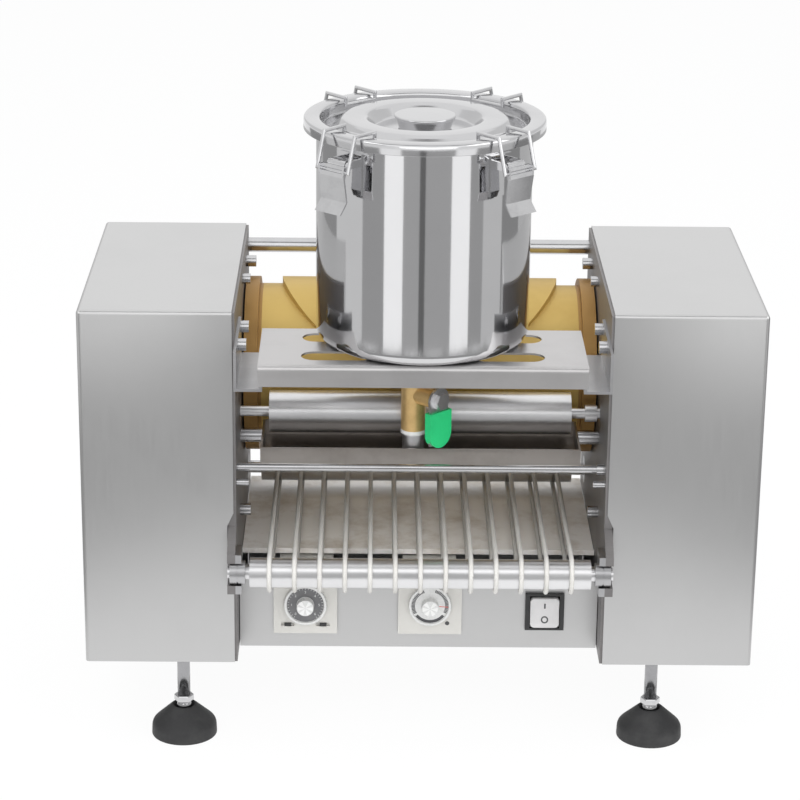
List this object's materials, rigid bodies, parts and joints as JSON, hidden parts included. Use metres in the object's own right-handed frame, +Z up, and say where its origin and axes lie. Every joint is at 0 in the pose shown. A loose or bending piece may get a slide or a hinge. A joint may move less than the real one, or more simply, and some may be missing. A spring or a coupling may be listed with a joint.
{
  "type": "crepe drum machine",
  "caption": "Table-top machine that dips, bakes and delivers thin round crepe sheets on a turning heated drum, with a batter bucket above and a cord conveyor below.",
  "frame": {"origin": "on the floor, midway across the machine and midway between its front and back", "axes": "+X across the machine to the operator's right, +Y from the operator towards the back, +Z up"},
  "size_m": [0.5, 0.2888, 0.4878],
  "materials": {
    "plate_steel": "brushed stainless sheet, satin",
    "bright_steel": "turned and ground bar, bright",
    "bucket_steel": "polished stainless, near mirror",
    "latch_steel": "polished spring steel",
    "pan_steel": "heat-stained sheet",
    "drum_coat": "golden hard coat, satin",
    "inner_steel": "machined, plain",
    "motor_paint": "grey machine paint",
    "brush_plastic": "moulded holder",
    "ring_brass": "bright brass",
    "cord_white": "round polyurethane cord",
    "washer_white": "plain white plastic",
    "gasket_white": "soft white seal",
    "black_plastic": "fine-grained black",
    "case_plastic": "pale moulding, fine grain",
    "dial_plastic": "pale moulding",
    "lever_steel": "plated strip",
    "grip_green": "soft vinyl sleeve",
    "foot_rubber": "moulded rubber"
  },
  "bodies": {
    "frame": {"left_side_plate": "plate_steel", "right_side_plate": "plate_steel", "left_cover": "plate_steel", "right_cover": "plate_steel", "base_plates": "plate_steel", "rear_tie_bar": "bright_steel", "guide_rod": "bright_steel", "drip_pan": "pan_steel", "control_panel": "plate_steel", "shelf_rails": "plate_steel", "bucket_shelf": "plate_steel", "batter_tray": "plate_steel", "frame_bolts": "bright_steel", "shaft_bearings": "inner_steel", "gearmotor": "motor_paint", "drive_chains": "inner_steel", "brush_block": "brush_plastic", "conveyor_cords": "cord_white", "cable_gland": "black_plastic", "timer_housing": "case_plastic", "thermostat_housing": "case_plastic", "rocker_frame": "black_plastic", "bucket": "bucket_steel", "lid": "bucket_steel", "lid_knob": "bucket_steel", "lid_gasket": "gasket_white", "latch_brackets": "bright_steel", "valve_body": "ring_brass", "valve_washer": "washer_white", "nozzle": "bright_steel"},
    "drum": {"heating_drum": "drum_coat", "drum_hubs": "inner_steel", "drum_gear": "inner_steel", "drum_sprocket": "inner_steel", "heater_rods": "inner_steel", "slip_rings": "ring_brass"},
    "dip_roller": {"dip_roller": "bright_steel", "dip_drive_wheels": "inner_steel"},
    "front_roller": {"front_roller": "bright_steel"},
    "rear_roller": {"rear_roller": "bright_steel"},
    "motor_shaft": {"motor_sprocket": "inner_steel"},
    "valve_lever": {"valve_lever": "lever_steel", "valve_grip": "grip_green"},
    "latch_lever_front_left": {"latch_lever_front_left": "latch_steel"},
    "latch_bail_front_left": {"latch_bail_front_left": "latch_steel"},
    "latch_lever_front_right": {"latch_lever_front_right": "latch_steel"},
    "latch_bail_front_right": {"latch_bail_front_right": "latch_steel"},
    "latch_lever_rear_left": {"latch_lever_rear_left": "latch_steel"},
    "latch_bail_rear_left": {"latch_bail_rear_left": "latch_steel"},
    "latch_lever_rear_right": {"latch_lever_rear_right": "latch_steel"},
    "latch_bail_rear_right": {"latch_bail_rear_right": "latch_steel"},
    "rocker": {"rocker": "dial_plastic"},
    "timer_dial": {"timer_dial": "dial_plastic"},
    "thermostat_dial": {"thermostat_dial": "dial_plastic"},
    "timer_selector_left": {"timer_selector_left": "black_plastic"},
    "timer_selector_right": {"timer_selector_right": "black_plastic"},
    "foot_front_left": {"foot_front_left": "foot_rubber"},
    "foot_front_right": {"foot_front_right": "foot_rubber"},
    "foot_rear_left": {"foot_rear_left": "foot_rubber"},
    "foot_rear_right": {"foot_rear_right": "foot_rubber"}
  },
  "joints": [
    {"name": "drum_spin", "type": "hinge", "parent": "frame", "child": "drum", "pos_m": [0, 0.05995, 0.2563], "axis": [1, 0, 0], "continuous": true},
    {"name": "dip_roller_spin", "type": "hinge", "parent": "frame", "child": "dip_roller", "pos_m": [0, -0.02386, 0.2458], "axis": [1, 0, 0], "continuous": true},
    {"name": "rear_roller_spin", "type": "hinge", "parent": "frame", "child": "rear_roller", "pos_m": [0, 0.10045, 0.1535], "axis": [1, 0, 0], "continuous": true},
    {"name": "front_roller_spin", "type": "hinge", "parent": "frame", "child": "front_roller", "pos_m": [0, -0.11955, 0.1535], "axis": [1, 0, 0], "continuous": true},
    {"name": "motor_spin", "type": "hinge", "parent": "frame", "child": "motor_shaft", "pos_m": [0, -0.01655, 0.136], "axis": [1, 0, 0], "continuous": true},
    {"name": "valve_turn", "type": "hinge", "parent": "frame", "child": "valve_lever", "pos_m": [-0.0055, -0.05705, 0.273], "axis": [-0.7071, 0.7071, 0], "range_deg": [0, 90]},
    {"name": "latch_lever_front_left_swing", "type": "hinge", "parent": "frame", "child": "latch_lever_front_left", "pos_m": [-0.06056, -0.1243, 0.465], "axis": [-0.7431, 0.6691, 0], "range_deg": [0, 105]},
    {"name": "latch_bail_front_left_swing", "type": "hinge", "parent": "latch_lever_front_left", "child": "latch_bail_front_left", "pos_m": [-0.06524, -0.12951, 0.462], "axis": [-0.7431, 0.6691, 0], "range_deg": [-125, 0]},
    {"name": "latch_lever_front_right_swing", "type": "hinge", "parent": "frame", "child": "latch_lever_front_right", "pos_m": [0.06056, -0.1243, 0.465], "axis": [-0.7431, -0.6691, 0], "range_deg": [0, 105]},
    {"name": "latch_bail_front_right_swing", "type": "hinge", "parent": "latch_lever_front_right", "child": "latch_bail_front_right", "pos_m": [0.06524, -0.12951, 0.462], "axis": [-0.7431, -0.6691, 0], "range_deg": [-125, 0]},
    {"name": "latch_lever_rear_left_swing", "type": "hinge", "parent": "frame", "child": "latch_lever_rear_left", "pos_m": [-0.06056, 0.01021, 0.465], "axis": [0.7431, 0.6691, 0], "range_deg": [0, 105]},
    {"name": "latch_bail_rear_left_swing", "type": "hinge", "parent": "latch_lever_rear_left", "child": "latch_bail_rear_left", "pos_m": [-0.06524, 0.01541, 0.462], "axis": [0.7431, 0.6691, 0], "range_deg": [-125, 0]},
    {"name": "latch_lever_rear_right_swing", "type": "hinge", "parent": "frame", "child": "latch_lever_rear_right", "pos_m": [0.06056, 0.01021, 0.465], "axis": [0.7431, -0.6691, 0], "range_deg": [0, 105]},
    {"name": "latch_bail_rear_right_swing", "type": "hinge", "parent": "latch_lever_rear_right", "child": "latch_bail_rear_right", "pos_m": [0.06524, 0.01541, 0.462], "axis": [0.7431, -0.6691, 0], "range_deg": [-125, 0]},
    {"name": "rocker_tilt", "type": "hinge", "parent": "frame", "child": "rocker", "pos_m": [0.0955, -0.07155, 0.1045], "axis": [1, 0, 0], "range_deg": [-7, 7]},
    {"name": "timer_turn", "type": "hinge", "parent": "frame", "child": "timer_dial", "pos_m": [-0.0857, -0.07455, 0.1105], "axis": [0, 1, 0], "range_deg": [0, 300]},
    {"name": "thermostat_turn", "type": "hinge", "parent": "frame", "child": "thermostat_dial", "pos_m": [0.0085, -0.07455, 0.1105], "axis": [0, 1, 0], "range_deg": [0, 300]},
    {"name": "timer_selector_left_slide", "type": "slide", "parent": "frame", "child": "timer_selector_left", "axis": [1, 0, 0], "range_m": [-0.002, 0.002]},
    {"name": "timer_selector_right_slide", "type": "slide", "parent": "frame", "child": "timer_selector_right", "axis": [1, 0, 0], "range_m": [-0.002, 0.002]},
    {"name": "foot_front_left_adjust", "type": "slide", "parent": "frame", "child": "foot_front_left", "axis": [0, 0, 1], "range_m": [-0.01, 0.01]},
    {"name": "foot_front_right_adjust", "type": "slide", "parent": "frame", "child": "foot_front_right", "axis": [0, 0, 1], "range_m": [-0.01, 0.01]},
    {"name": "foot_rear_left_adjust", "type": "slide", "parent": "frame", "child": "foot_rear_left", "axis": [0, 0, 1], "range_m": [-0.01, 0.01]},
    {"name": "foot_rear_right_adjust", "type": "slide", "parent": "frame", "child": "foot_rear_right", "axis": [0, 0, 1], "range_m": [-0.01, 0.01]}
  ],
  "couplings": [
    {"joint": "dip_roller_spin", "follows": "drum_spin", "ratio": -4},
    {"joint": "rear_roller_spin", "follows": "drum_spin", "ratio": -5.3333},
    {"joint": "front_roller_spin", "follows": "drum_spin", "ratio": -5.3333},
    {"joint": "motor_spin", "follows": "drum_spin", "ratio": 2.5},
    {"joint": "latch_bail_front_left_swing", "follows": "latch_lever_front_left_swing", "ratio": -1.12},
    {"joint": "latch_bail_front_right_swing", "follows": "latch_lever_front_right_swing", "ratio": -1.12},
    {"joint": "latch_bail_rear_left_swing", "follows": "latch_lever_rear_left_swing", "ratio": -1.12},
    {"joint": "latch_bail_rear_right_swing", "follows": "latch_lever_rear_right_swing", "ratio": -1.12}
  ]
}
